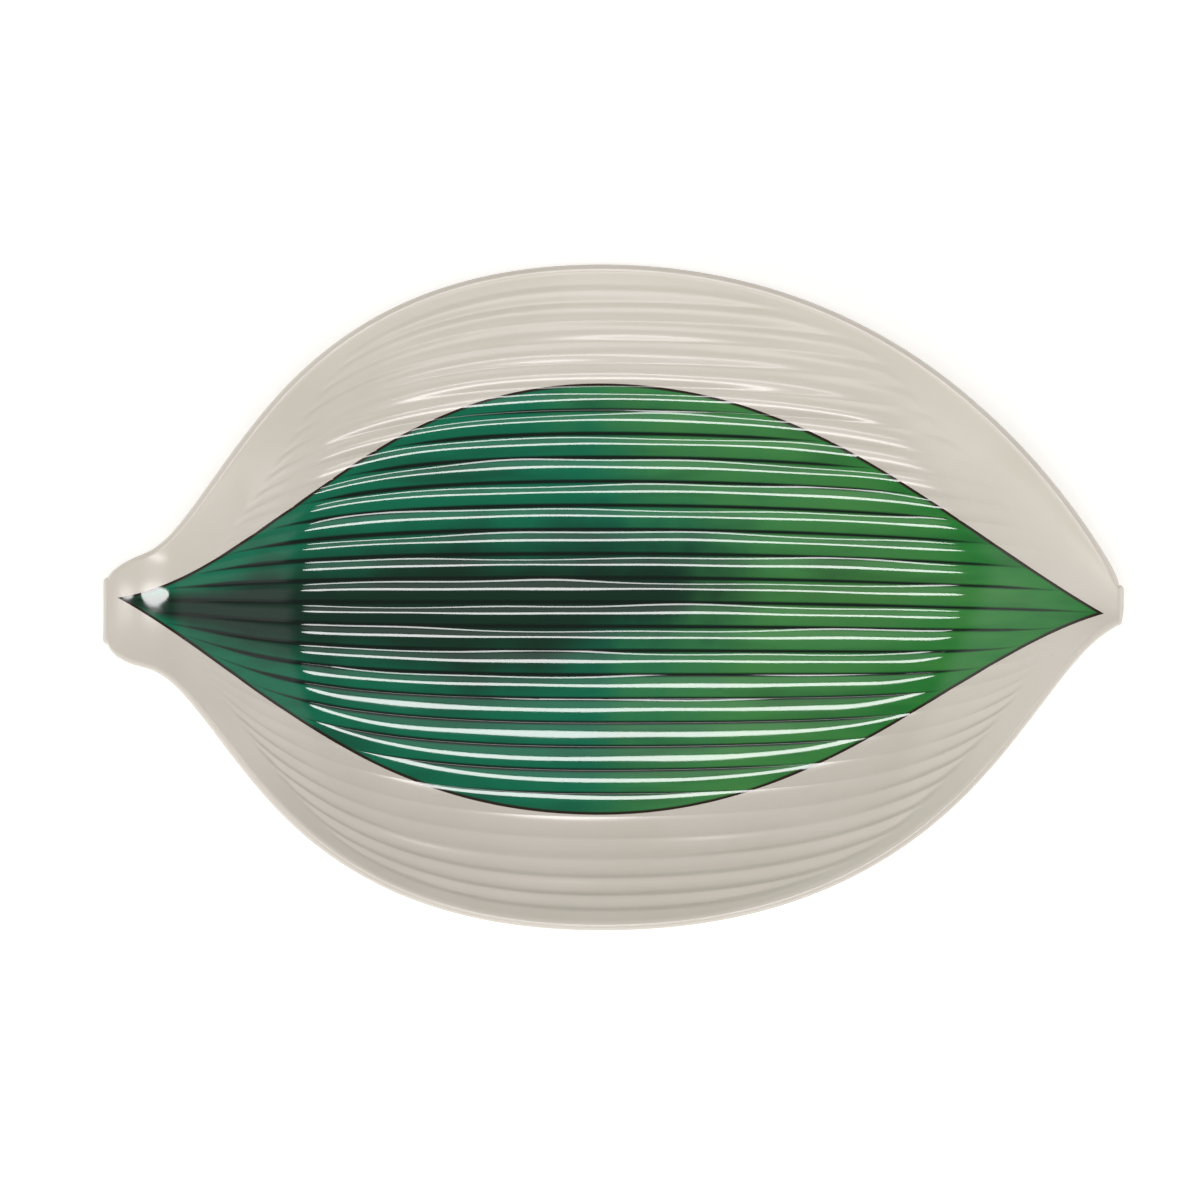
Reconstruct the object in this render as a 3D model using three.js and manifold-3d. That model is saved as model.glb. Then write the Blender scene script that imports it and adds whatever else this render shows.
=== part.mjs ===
// A leaf-shaped melamine serving plate: a boat-shaped moulded shell with flutes along its face and a
// foot ring below, and a printed foil pressed flush into the face.
// Millimetres, +Z up, +X from the stem end to the tip, origin on the table under the plate's middle.
import * as THREE from 'three';
import { LoftGeometry } from 'three/addons/geometries/LoftGeometry.js';
import { mergeVertices } from 'three/addons/utils/BufferGeometryUtils.js';
import Module from 'manifold-3d';

const wasm = await Module();
wasm.setup();

const { clamp, degToRad, lerp, smoothstep } = THREE.MathUtils;

// Plan of the face, out to the inner edge of the rounded rim; the rim leans out further at the tip
// than at the stem, so the face lies a little towards the stem
const FACE_LENGTH = 301.4;
const FACE_SHIFT = 0.35;
const FACE_WIDTH = 193;
const WIDEST_X = -3.5;
const STEM_END_WIDTH = 17;
const STEM_NECK_WIDTH = 30.5;
const STEM_NECK_LENGTH = 11;
const STEM_CORNER_REACH = 10.5;
const STEM_Y = -4;
const TIP_END_WIDTH = 8.5;
const TIP_Y = -2.5;

// Handles of the edge curves: from the widest section, and from the neck or the tip
const FAR_EDGE = { shoulder: 99.5, neckRun: 27, neckRise: 10, bow: 68, tipRun: 34, tipRise: 59 };
const NEAR_EDGE = { shoulder: 102.5, neckRun: 29, neckRise: 6.5, bow: 112.5, tipRun: 27.5, tipRise: 9 };

// Heights above the table, to the face
const WALL = 3;
const FOOT_HEIGHT = 2;
const RIM_HEIGHT = 26.5;
const STEM_HEIGHT = 22;
const STEM_TROUGH = 0.6;
const STEM_END_TROUGH = 0.1;
const STEM_TROUGH_RUNOUT = 9;
const STEM_DROOP = 1;
const TIP_HEIGHT = 23.5;
const TIP_TROUGH = 0.4;

// The floor rises along a ramp to a drooping ledge at the stem end and along another to the tip;
// between the ramps it is flat, with side walls of an even run all round
const STEM_LEDGE = 16.5;
const STEM_RAMP = 41;
const STEM_BEND = 14;
const TIP_RAMP = 47.5;
const TIP_BEND = 34;
const WALL_RUN = 46;
const WALL_POWER = 2.6;

// Flutes along the face with ridges between them, and a smooth band inside the rim
const FLUTE_PITCH = 7.35;
const FLUTE_PITCH_AT_RIM = 6.6;
const FLUTE_DEPTH = 0.85;
const FLUTE_RUNOUT = 3;
const FLUTE_STEM_GAP = 17.5;
const FLUTE_TIP_GAP = 15.5;
const FLUTE_END_FADE = 40;
const FLUTE_NARROWING = 2;
const FLUTE_WALL_SHARE = 0.6;
const FLUTE_WALL_FROM = 0.55;
const FLUTE_WALL_TO = 0.8;
const BAND_AT_SIDES = 1.6;
const BAND_AT_ENDS = 11;
const BAND_END_RUN = 45.5;
const BAND_TAPER = 32;

// Foot ring, an ellipse under the flat floor
const FOOT_LENGTH = 150;
const FOOT_WIDTH = 80;
const FOOT_RING = 4;
const FOOT_ROOT = 1;

// Printed foil and the shallow seat that it lies in
const FOIL_THICKNESS = 0.3;
const FOIL_WIDTH = 131;
const FOIL_WIDEST_X = -4;
const FOIL_STEM_GAP = 2.2;
const FOIL_STEM_Y = -0.2;
const FOIL_TIP_GAP = 3;
const FOIL_TIP_Y = -5;
const FOIL_FAR_EDGE = { stemWide: 72, stemRun: 42, stemRise: 6, tipWide: 66, tipRun: 42, tipRise: 26 };
const FOIL_NEAR_EDGE = { stemWide: 72, stemRun: 40, stemRise: 22, tipWide: 70, tipRun: 42, tipRise: 12 };
const SEAT_CLEARANCE = 0.1;
const SEAT_SIDE_CLEARANCE = 0.3;
const SEAT_TIP_CLEARANCE = 0.9;

// Facets
const STEM_STEPS = 2;
const SHOULDER_STEPS = 9;
const BOW_STEPS = 10;
const FLUTE_STEPS = 4;
const BAND_STEPS = 2;
const UNDERSIDE_STEPS = 14;
const LIP_ANGLES = [45, 0, -45].map(degToRad);
const END_LIP_ANGLES = [40, 80].map(degToRad);
const FOOT_SIDES = 48;
const FOIL_CURVE_STEPS = 24;

const MELAMINE = { color: 0xd9d1c7, roughness: 0.22, metalness: 0 };
const PRINT = { color: 0x14774e, roughness: 0.18, metalness: 0 };

const STEM_X = -FACE_LENGTH / 2 - FACE_SHIFT;
const TIP_X = FACE_LENGTH / 2 - FACE_SHIFT;
const BAND_WIDE_X = FACE_LENGTH / 2 - BAND_END_RUN;
const FLOOR_HEIGHT = FOOT_HEIGHT + WALL;
const SEAT_DEPTH = FOIL_THICKNESS + SEAT_CLEARANCE;

// Edge of the face on one side (+1 far, -1 near) as three curves: stem corner, shoulder and bow
function edgeCurves(side, handles) {
  const along = (x, y) => new THREE.Vector2(x, y);
  const stem = along(STEM_X, STEM_Y + side * STEM_END_WIDTH / 2);
  const neck = along(STEM_X + STEM_NECK_LENGTH, STEM_Y + side * STEM_NECK_WIDTH / 2);
  const widest = along(WIDEST_X, side * FACE_WIDTH / 2);
  const tip = along(TIP_X, TIP_Y + side * TIP_END_WIDTH / 2);
  const neckHandle = along(handles.neckRun, side * handles.neckRise);
  const corner = neck.clone().sub(neckHandle.clone().setLength(STEM_CORNER_REACH));
  return [
    new THREE.QuadraticBezierCurve(stem, corner, neck),
    new THREE.CubicBezierCurve(
      neck,
      neck.clone().add(neckHandle),
      along(WIDEST_X - handles.shoulder, widest.y),
      widest,
    ),
    new THREE.CubicBezierCurve(
      widest,
      along(WIDEST_X + handles.bow, widest.y),
      along(tip.x - handles.tipRun, tip.y + side * handles.tipRise),
      tip,
    ),
  ];
}

const farEdge = edgeCurves(1, FAR_EDGE);
const nearEdge = edgeCurves(-1, NEAR_EDGE);
const LAST_U = farEdge.length;

// Point and direction of an edge at u, which counts curves from the stem end
function edgeAt(edge, u) {
  const piece = clamp(Math.floor(u), 0, LAST_U - 1);
  const t = clamp(u - piece, 0, 1);
  return { point: edge[piece].getPoint(t), tangent: edge[piece].getTangent(t) };
}

// Place in plan at (u, v), where v runs from -1 on the near edge to 1 on the far edge
function facePlan(u, v) {
  return edgeAt(nearEdge, u).point.lerp(edgeAt(farEdge, u).point, (v + 1) / 2);
}

function halfWidthAt(u) {
  return edgeAt(nearEdge, u).point.distanceTo(edgeAt(farEdge, u).point) / 2;
}

// Rise after a run up a slope of one that starts with a rounded bend of that length
function roundedRise(run, bend) {
  const bent = clamp(run + bend / 2, 0, bend);
  return bent * bent / (2 * bend) + Math.max(run - bend / 2, 0);
}

// Share of the rise from the flat floor to the ledge at the stem end
function stemShare(x) {
  const run = STEM_X + STEM_LEDGE + STEM_RAMP - x;
  return (roundedRise(run, STEM_BEND) - roundedRise(run - STEM_RAMP, STEM_BEND)) / STEM_RAMP;
}

// Share of the rise from the flat floor to the tip
function tipShare(x) {
  return roundedRise(x - TIP_X + TIP_RAMP, TIP_BEND) / TIP_RAMP;
}

// Height of the face without its flutes, at x and v in a section of that half width
function faceHeight(x, v, halfWidth) {
  const reach = x < WIDEST_X ? (WIDEST_X - x) / (WIDEST_X - STEM_X) : (x - WIDEST_X) / (TIP_X - WIDEST_X);
  const rim = lerp(RIM_HEIGHT, x < WIDEST_X ? STEM_HEIGHT : TIP_HEIGHT, reach * reach);
  const stem = stemShare(x);
  const tip = tipShare(x);
  const fromStem = smoothstep(x - STEM_X, 0, STEM_TROUGH_RUNOUT);
  const stemTrough = lerp(STEM_END_TROUGH, STEM_TROUGH, fromStem);
  const axis = FLOOR_HEIGHT
    + stem * (STEM_HEIGHT - stemTrough - FLOOR_HEIGHT)
    + tip * (TIP_HEIGHT - TIP_TROUGH - FLOOR_HEIGHT);
  const flat = Math.max(1 - WALL_RUN / halfWidth, 0) * (1 - stem) * (1 - tip);
  const climb = Math.max((Math.abs(v) - flat) / (1 - flat), 0) ** WALL_POWER;
  const onLedge = Math.max((STEM_X + STEM_LEDGE - x) / STEM_LEDGE, 0);
  return lerp(axis, rim, climb) - STEM_DROOP * onLedge * onLedge;
}

function smoothFace(u, v) {
  const plan = facePlan(u, v);
  return new THREE.Vector3(plan.x, plan.y, faceHeight(plan.x, v, halfWidthAt(u)));
}

// Point of the smooth face with its normal and its direction across the plate
function faceFrame(u, v) {
  const du = 0.01;
  const dv = 0.005;
  const along = smoothFace(Math.min(u + du, LAST_U), v).sub(smoothFace(Math.max(u - du, 0), v));
  const across = smoothFace(u, v + dv).sub(smoothFace(u, v - dv)).normalize();
  return { point: smoothFace(u, v), normal: along.cross(across).normalize(), across };
}

// Ridges between the flutes on one half, at steps along the widest section that shrink to the rim
function fluteRidges() {
  const STEP = 0.0005;
  const heightOf = (v) => faceHeight(WIDEST_X, v, FACE_WIDTH / 2);
  const ridges = [0];
  let flutes = 0;
  for (let v = 0; (1 - v) * FACE_WIDTH / 2 > BAND_AT_SIDES; v += STEP) {
    const walked = Math.hypot(STEP * FACE_WIDTH / 2, heightOf(v + STEP) - heightOf(v));
    flutes += walked / lerp(FLUTE_PITCH, FLUTE_PITCH_AT_RIM, v * v);
    if (flutes >= ridges.length) ridges.push(v + STEP);
  }
  return ridges;
}

const RIDGES = fluteRidges();
const LAST_RIDGE = RIDGES[RIDGES.length - 1];

// Depth of the flutes at v, from 0 on a ridge to 1 along the middle of a flute
function flute(v) {
  const across = Math.abs(v);
  const next = RIDGES.findIndex((ridge) => ridge > across);
  if (next < 0) return 0;
  const share = (across - RIDGES[next - 1]) / (RIDGES[next] - RIDGES[next - 1]);
  return 1 - (2 * share - 1) ** 2;
}

// How much of the flutes' depth is left at (u, v): they get shallower where they draw together and up
// the side walls, and run out before the rim and before both ends
function fluteStrength(u, v) {
  const near = edgeAt(nearEdge, u);
  const far = edgeAt(farEdge, u);
  const span = far.point.clone().sub(near.point);
  const edge = v < 0 ? near : far;
  const toRim = (1 - Math.abs(v)) / 2 * Math.abs(span.cross(edge.tangent));
  const x = facePlan(u, v).x;
  const widening = smoothstep(Math.abs(x), BAND_WIDE_X - BAND_TAPER, BAND_WIDE_X);
  const band = lerp(BAND_AT_SIDES, BAND_AT_ENDS, widening);
  const onWall = smoothstep(Math.abs(v), FLUTE_WALL_FROM, FLUTE_WALL_TO);
  return (2 * halfWidthAt(u) / FACE_WIDTH) ** FLUTE_NARROWING
    * lerp(1, FLUTE_WALL_SHARE, onWall)
    * smoothstep(toRim, band, band + FLUTE_RUNOUT)
    * smoothstep(x - STEM_X - FLUTE_STEM_GAP, 0, FLUTE_END_FADE)
    * smoothstep(TIP_X - FLUTE_TIP_GAP - x, 0, FLUTE_END_FADE);
}

function flutedFace(u, v) {
  const { point, normal } = faceFrame(u, v);
  return point.addScaledVector(normal, -FLUTE_DEPTH * flute(v) * fluteStrength(u, v));
}

// Stations along the plate, and places across its face from the far edge to the near one
function stations() {
  const counts = [STEM_STEPS, SHOULDER_STEPS, BOW_STEPS];
  const inside = counts.flatMap((count, piece) => Array.from({ length: count }, (_, i) => piece + i / count));
  return [...inside, LAST_U];
}

function placesAcross() {
  const half = [];
  for (let k = 0; k + 1 < RIDGES.length; k += 1) {
    for (let i = 0; i < FLUTE_STEPS; i += 1) half.push(lerp(RIDGES[k], RIDGES[k + 1], i / FLUTE_STEPS));
  }
  for (let i = 0; i <= BAND_STEPS; i += 1) half.push(lerp(LAST_RIDGE, 1, i / BAND_STEPS));
  return [...half.slice(1).reverse(), 0, ...half.slice(1).map((v) => -v)];
}

const STATIONS = stations();
const ACROSS = placesAcross();

// One section of the shell as a loop of skin points, each with its core point half a wall inside
function shellSection(u) {
  const loop = [];
  const coreOf = ({ point, normal }) => point.clone().addScaledVector(normal, -WALL / 2);
  const addLip = (v, angles) => {
    const frame = faceFrame(u, v);
    const core = coreOf(frame);
    for (const angle of angles) {
      const skin = core.clone()
        .addScaledVector(frame.normal, WALL / 2 * Math.sin(angle))
        .addScaledVector(frame.across, v * WALL / 2 * Math.cos(angle));
      loop.push({ skin, core });
    }
  };
  for (const v of ACROSS) loop.push({ skin: flutedFace(u, v), core: coreOf(faceFrame(u, v)) });
  addLip(-1, LIP_ANGLES);
  for (let i = 0; i <= UNDERSIDE_STEPS; i += 1) {
    const frame = faceFrame(u, lerp(-1, 1, i / UNDERSIDE_STEPS));
    loop.push({ skin: frame.point.clone().addScaledVector(frame.normal, -WALL), core: coreOf(frame) });
  }
  addLip(1, LIP_ANGLES.map((angle) => -angle));
  return loop;
}

// Rounds an end section outwards by half a wall: each angle gives one loop closer to the core
function endLips(u, outward) {
  const span = facePlan(u, 1).sub(facePlan(u, -1)).normalize();
  const out = new THREE.Vector3(span.y, -span.x, 0).multiplyScalar(outward * WALL / 2);
  const loop = shellSection(u);
  return END_LIP_ANGLES.map((angle) => loop.map(({ skin, core }) => core.clone()
    .addScaledVector(skin.clone().sub(core), Math.cos(angle))
    .addScaledVector(out, Math.sin(angle))));
}

function shellGeometry() {
  const sections = STATIONS.map((u) => shellSection(u).map(({ skin }) => skin));
  const stemLips = endLips(0, -1).reverse();
  const tipLips = endLips(LAST_U, 1);
  return new LoftGeometry([...stemLips, ...sections, ...tipLips], { capStart: true, capEnd: true });
}

// A layer that follows the fluted face between two heights above it
function faceLayer(low, high) {
  const lift = new THREE.Vector3(0, 0, 1);
  const sections = STATIONS.map((u) => {
    const face = ACROSS.map((v) => flutedFace(u, v));
    const top = face.map((point) => point.clone().addScaledVector(lift, high));
    const bottom = face.map((point) => point.clone().addScaledVector(lift, low)).reverse();
    return [...top, ...bottom];
  });
  return new LoftGeometry(sections, { capStart: true, capEnd: true });
}

// Outline of the printed foil: a pointed leaf blade, drawn in all round by an inset
function foilOutline(sideInset, tipInset) {
  const halfWidth = FOIL_WIDTH / 2 - sideInset;
  const stemX = STEM_X + FOIL_STEM_GAP + tipInset;
  const tipX = TIP_X - FOIL_TIP_GAP - tipInset;
  const far = FOIL_FAR_EDGE;
  const near = FOIL_NEAR_EDGE;
  return new THREE.Shape()
    .moveTo(stemX, FOIL_STEM_Y)
    .bezierCurveTo(
      stemX + near.stemRun, FOIL_STEM_Y - near.stemRise,
      FOIL_WIDEST_X - near.stemWide, -halfWidth,
      FOIL_WIDEST_X, -halfWidth,
    )
    .bezierCurveTo(
      FOIL_WIDEST_X + near.tipWide, -halfWidth,
      tipX - near.tipRun, FOIL_TIP_Y - near.tipRise,
      tipX, FOIL_TIP_Y,
    )
    .bezierCurveTo(
      tipX - far.tipRun, FOIL_TIP_Y + far.tipRise,
      FOIL_WIDEST_X + far.tipWide, halfWidth,
      FOIL_WIDEST_X, halfWidth,
    )
    .bezierCurveTo(
      FOIL_WIDEST_X - far.stemWide, halfWidth,
      stemX + far.stemRun, FOIL_STEM_Y + far.stemRise,
      stemX, FOIL_STEM_Y,
    );
}

// The outline as an upright block, tall enough to pass through the whole plate
function foilBlock(sideInset, tipInset) {
  return new THREE.ExtrudeGeometry(foilOutline(sideInset, tipInset), {
    depth: 2 * RIM_HEIGHT,
    bevelEnabled: false,
    curveSegments: FOIL_CURVE_STEPS,
  });
}

function footRingGeometry() {
  const ring = new THREE.Shape().absellipse(0, 0, FOOT_LENGTH / 2, FOOT_WIDTH / 2, 0, 2 * Math.PI);
  const inside = new THREE.Path();
  inside.absellipse(0, 0, FOOT_LENGTH / 2 - FOOT_RING, FOOT_WIDTH / 2 - FOOT_RING, 0, 2 * Math.PI);
  ring.holes.push(inside);
  return new THREE.ExtrudeGeometry(ring, {
    depth: FOOT_HEIGHT + FOOT_ROOT,
    bevelEnabled: false,
    curveSegments: FOOT_SIDES,
  });
}

// A closed geometry as a manifold solid, and back
function solidOf(geometry) {
  const bare = new THREE.BufferGeometry();
  bare.setAttribute('position', geometry.getAttribute('position'));
  bare.setIndex(geometry.index);
  const merged = mergeVertices(bare);
  const vertProperties = merged.getAttribute('position').array;
  const triVerts = new Uint32Array(merged.index.array);
  return new wasm.Manifold(new wasm.Mesh({ numProp: 3, vertProperties, triVerts }));
}

function geometryOf(solid) {
  const { vertProperties, triVerts } = solid.getMesh();
  const geometry = new THREE.BufferGeometry();
  geometry.setAttribute('position', new THREE.BufferAttribute(vertProperties, 3));
  geometry.setIndex(new THREE.BufferAttribute(triVerts, 1));
  geometry.computeVertexNormals();
  return geometry;
}

// The moulded shell with its foot ring, and the seat for the foil sunk into its face
function plateBody() {
  const seat = solidOf(faceLayer(-SEAT_DEPTH, RIM_HEIGHT)).intersect(solidOf(foilBlock(0, 0)));
  const moulding = solidOf(shellGeometry()).add(solidOf(footRingGeometry())).subtract(seat);
  return new THREE.Mesh(geometryOf(moulding), new THREE.MeshStandardMaterial(MELAMINE));
}

// The printed foil, which fills its seat flush with the face
function printedFoil() {
  const sheet = solidOf(faceLayer(-FOIL_THICKNESS, 0));
  const outline = solidOf(foilBlock(SEAT_SIDE_CLEARANCE, SEAT_TIP_CLEARANCE));
  return new THREE.Mesh(geometryOf(sheet.intersect(outline)), new THREE.MeshStandardMaterial(PRINT));
}

const plate = new THREE.Group();
const pieces = { plate_body: plateBody(), printed_foil: printedFoil() };
for (const [name, mesh] of Object.entries(pieces)) {
  mesh.name = name;
  plate.add(mesh);
}

export default plate;
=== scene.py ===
"""Leaf-shaped melamine serving plate: its finished surfaces, a studio and a camera.

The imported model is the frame. The moulded shell and the printed foil are worked out again as fine
surfaces on the plate's own sizes, take the place of the two plain solids and get glazed finishes.
The plate's sizes are in millimetres and become metres when a mesh is made. The studio and the
finishes are in metres, apart from the print's lines, which follow marks in millimetres.
"""

import logging
import math
from dataclasses import astuple, dataclass
from enum import Enum
from functools import cached_property
from typing import Any, ClassVar

import bmesh
import bpy
import numpy as np
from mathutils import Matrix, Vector


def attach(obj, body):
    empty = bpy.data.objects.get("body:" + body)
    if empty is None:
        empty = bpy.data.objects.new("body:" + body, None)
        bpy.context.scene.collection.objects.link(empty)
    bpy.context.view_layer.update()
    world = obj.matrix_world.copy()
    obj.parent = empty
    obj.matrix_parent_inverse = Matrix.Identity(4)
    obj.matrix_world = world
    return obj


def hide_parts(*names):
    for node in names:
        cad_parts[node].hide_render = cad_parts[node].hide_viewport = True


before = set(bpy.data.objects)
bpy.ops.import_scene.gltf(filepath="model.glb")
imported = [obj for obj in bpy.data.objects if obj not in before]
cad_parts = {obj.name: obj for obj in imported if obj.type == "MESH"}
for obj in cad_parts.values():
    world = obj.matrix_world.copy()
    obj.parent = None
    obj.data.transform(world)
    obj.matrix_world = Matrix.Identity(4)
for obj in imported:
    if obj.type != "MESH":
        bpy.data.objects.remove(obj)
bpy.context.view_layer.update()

Array = np.ndarray
Colour = tuple[float, float, float, float]
Span = tuple[float, float]

MM = 0.001
MERGE_MM = 0.002
CREASE_DEG = 25.0
ROOT_BODY = "root"
log = logging.getLogger("leaf_plate")


class Side(Enum):
    """The two long edges of the plate, by the sign of Y."""

    FAR = 1
    NEAR = -1


class End(Enum):
    """The two ends of the plate, by the sign of X."""

    STEM = -1
    TIP = 1


class Mark(Enum):
    """Numbers that the foil carries at its vertices and its print is drawn from."""

    ALONG = "along"
    ACROSS = "across"
    RIDGE = "ridge_mm"
    EDGE = "edge_mm"


def smoothstep(low: float | Array, high: float | Array, x: Array) -> Array:
    """Eased step: with t = (x - low) / (high - low) held to 0..1, it is t * t * (3 - 2 t).

    Args:
        low: where the step starts.
        high: where the step ends.
        x: places to evaluate.

    Returns:
        Values from 0 to 1, shaped like x.
    """
    t = np.clip((x - low) / (high - low), 0.0, 1.0)
    return t * t * (3.0 - 2.0 * t)


def bezier(handles: Array, t: Array) -> Array:
    """Bezier curve by repeated blending: each round mixes neighbouring points by 1 - t and t.

    Args:
        handles: control points, one row each.
        t: places along the curve, 0 to 1.

    Returns:
        One point per t.
    """
    rows = np.repeat(handles[:, None, :], t.size, axis=1)
    share = t[None, :, None]
    while len(rows) > 1:
        rows = rows[:-1] * (1.0 - share) + rows[1:] * share
    return rows[0]


def unit(vectors: Array) -> Array:
    """Vectors along the last axis, each divided by its own length."""
    return vectors / np.linalg.norm(vectors, axis=-1, keepdims=True)


def cross_2d(a: Array, b: Array) -> Array:
    """Signed area a.x b.y - a.y b.x of plan vectors along the last axis."""
    return a[..., 0] * b[..., 1] - a[..., 1] * b[..., 0]


def loop_faces(rows: int, columns: int) -> Array:
    """Four-cornered faces of a grid whose rows are closed loops.

    Vertex (i, j) has number i * columns + j, and column `columns` is column 0 again.

    Args:
        rows: loops along the grid.
        columns: vertices in each loop.

    Returns:
        One row of four vertex numbers per face.
    """
    i, j = np.meshgrid(np.arange(rows - 1), np.arange(columns), indexing="ij")
    after = (j + 1) % columns
    corners = (i * columns + j, i * columns + after, (i + 1) * columns + after, (i + 1) * columns + j)
    return np.stack(corners, axis=-1).reshape(-1, 4)


def make_piece(name: str, points: Array, faces: list[list[int]],
               marks: dict[Mark, Array] | None = None) -> bpy.types.Object:
    """Makes a mesh object at the origin, with doubles merged and smooth faces between creases.

    Args:
        name: the object's name.
        points: vertices in millimetres, one row each.
        faces: lists of vertex numbers.
        marks: one number per vertex for each mark, for the finish to read.

    Returns:
        The linked object.
    """
    mesh = bpy.data.meshes.new(name)
    mesh.from_pydata((points * MM).tolist(), [], faces)
    for mark, values in (marks or {}).items():
        layer = mesh.attributes.new(mark.value, "FLOAT", "POINT")
        layer.data.foreach_set("value", values.astype(np.float32).ravel())
    merged = bmesh.new()
    merged.from_mesh(mesh)
    bmesh.ops.remove_doubles(merged, verts=merged.verts, dist=MERGE_MM * MM)
    merged.to_mesh(mesh)
    merged.free()
    mesh.polygons.foreach_set("use_smooth", np.ones(len(mesh.polygons), bool))
    mesh.set_sharp_from_angle(angle=math.radians(CREASE_DEG))
    mesh.update()
    piece = bpy.data.objects.new(name, mesh)
    bpy.context.scene.collection.objects.link(piece)
    return piece


@dataclass(frozen=True)
class EdgeHandles:
    """Reach of one long edge's curve handles."""

    shoulder: float
    neck_run: float
    neck_rise: float
    bow: float
    tip_run: float
    tip_rise: float


@dataclass(frozen=True)
class FluteShares:
    """The flutes of one half of the plate.

    Shares of the full depth on the floor and on the wall, the places v between which the wall's
    share sets in, and the width of the smooth band towards both ends.
    """

    floor: float | Array
    wall: float | Array
    wall_from: float | Array
    wall_to: float | Array
    end_band: float | Array


@dataclass(frozen=True)
class FluteSpread:
    """How the flutes run towards one end, as powers of the plate's share of its full width.

    At the middle a power of 0 lets them follow the outline and a power of 1 keeps their pitch. At
    the edge a power above 0 lets the outer flutes run out at the rim.
    """

    middle: float
    edge: float


@dataclass(frozen=True)
class Ripple:
    """A slow sine along the plate, with a phase of its own for each flute."""

    wavelength: float
    phase: float
    weight: float

    def at(self, x: Array, number: Array) -> Array:
        """Weight times the sine of 2 pi x over the wavelength plus the phase times the flute's number."""
        return self.weight * np.sin(2 * math.pi * x / self.wavelength + self.phase * number)


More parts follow.
